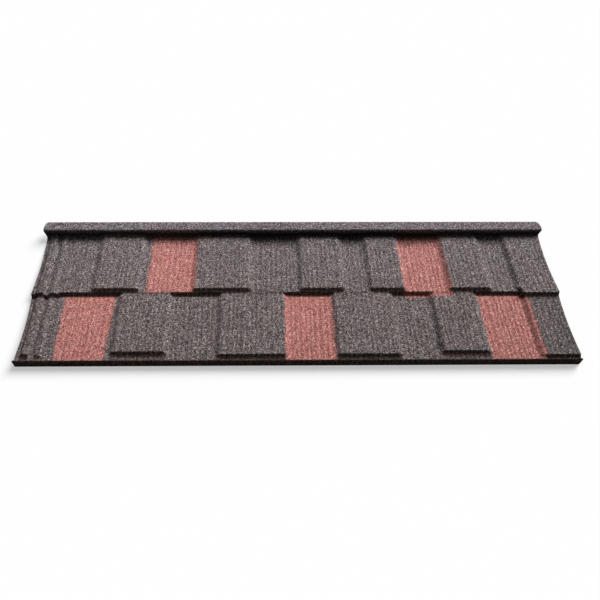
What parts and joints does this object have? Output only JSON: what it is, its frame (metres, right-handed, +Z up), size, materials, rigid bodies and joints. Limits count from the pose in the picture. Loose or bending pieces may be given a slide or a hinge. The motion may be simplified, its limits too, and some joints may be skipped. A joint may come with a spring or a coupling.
{
  "type": "tile effect metal roofing sheet",
  "caption": "Pressed steel roofing sheet coated with stone chips, stepped into courses of raised and low boards with a turned-down nose, lap ridges and a head flange.",
  "frame": {"origin": "on the floor, under the middle of the sheet's bounding box", "axes": "+X along the eaves, from the lap ridges to the plain end; +Y up the roof slope, from the nose to the head flange; +Z up, away from the roof deck"},
  "size_m": [1.34, 0.421, 0.0319],
  "materials": {
    "stone_chip_coat": "rough bonded stone chips, charcoal with salmon red boards, over primed steel"
  },
  "bodies": {
    "root": {"roofing_sheet": "stone_chip_coat"}
  },
  "joints": []
}
